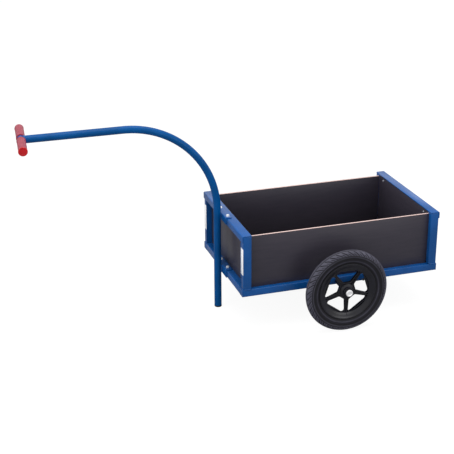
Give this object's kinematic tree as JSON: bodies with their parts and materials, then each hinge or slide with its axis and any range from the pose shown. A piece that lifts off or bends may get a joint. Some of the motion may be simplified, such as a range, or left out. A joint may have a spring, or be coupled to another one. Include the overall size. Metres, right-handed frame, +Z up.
{
  "type": "hand cart",
  "caption": "Two-wheeled hand cart: open plywood box in a blue steel frame, spoked pneumatic-tyred wheels, and a bent drawbar with a cross handle that is also the rest leg.",
  "frame": {"origin": "on the floor under the middle of the cart's outer box", "axes": "+Z up; +X from the handle towards the tail, -X is the way it is pulled; -Y is the left side when pulling"},
  "size_m": [1.9314, 0.921, 0.9596],
  "materials": {
    "frame_blue": "satin blue powder coat",
    "film_plywood": "dark film-faced plywood, light cut edges",
    "zinc_plate": "bright zinc plate",
    "chrome_cap": "bright plated",
    "reflector_white": "white retro-reflective film",
    "grip_red": "satin soft plastic",
    "foot_black": "satin",
    "wheel_plastic": "satin moulded",
    "tyre_rubber": "matt rubber",
    "inner_rubber": "matt rubber",
    "bush_plastic": "black nylon"
  },
  "bodies": {
    "cart": {"left_floor_rail": "frame_blue", "right_floor_rail": "frame_blue", "front_floor_rail": "frame_blue", "rear_floor_rail": "frame_blue", "front_cross_member": "frame_blue", "rear_cross_member": "frame_blue", "rail_end_caps": "frame_blue", "front_left_post": "frame_blue", "front_right_post": "frame_blue", "rear_left_post": "frame_blue", "rear_right_post": "frame_blue", "front_top_rail": "frame_blue", "rear_top_rail": "frame_blue", "panel_lugs": "frame_blue", "floor_panel": "film_plywood", "left_side_panel": "film_plywood", "right_side_panel": "film_plywood", "front_panel": "film_plywood", "rear_panel": "film_plywood", "panel_bolts": "zinc_plate", "panel_nuts": "zinc_plate", "panel_screws": "zinc_plate", "panel_pins": "zinc_plate", "floor_bolts": "zinc_plate", "front_reflectors": "reflector_white", "drawbar_tube": "frame_blue", "upper_bracket": "frame_blue", "lower_bracket": "frame_blue", "bracket_bolts": "zinc_plate", "bracket_washers": "zinc_plate", "bracket_nuts": "zinc_plate", "cross_handle_tube": "frame_blue", "left_grip": "grip_red", "right_grip": "grip_red", "foot_cap": "foot_black", "axle": "zinc_plate", "left_axle_sleeve": "frame_blue", "right_axle_sleeve": "frame_blue", "left_axle_spacer": "wheel_plastic", "right_axle_spacer": "wheel_plastic", "end_washers": "wheel_plastic", "left_axle_cap": "chrome_cap", "right_axle_cap": "chrome_cap"},
    "left_wheel": {"left_rim": "wheel_plastic", "left_tyre": "tyre_rubber", "left_inner_tube": "inner_rubber", "left_outer_bush": "bush_plastic", "left_inner_bush": "bush_plastic", "left_valve": "inner_rubber"},
    "right_wheel": {"right_rim": "wheel_plastic", "right_tyre": "tyre_rubber", "right_inner_tube": "inner_rubber", "right_outer_bush": "bush_plastic", "right_inner_bush": "bush_plastic", "right_valve": "inner_rubber"}
  },
  "joints": [
    {"name": "left_wheel_spin", "type": "hinge", "parent": "cart", "child": "left_wheel", "pos_m": [0.4498, -0.42, 0.2], "axis": [0, 1, 0], "continuous": true},
    {"name": "right_wheel_spin", "type": "hinge", "parent": "cart", "child": "right_wheel", "pos_m": [0.4498, 0.42, 0.2], "axis": [0, 1, 0], "continuous": true}
  ]
}
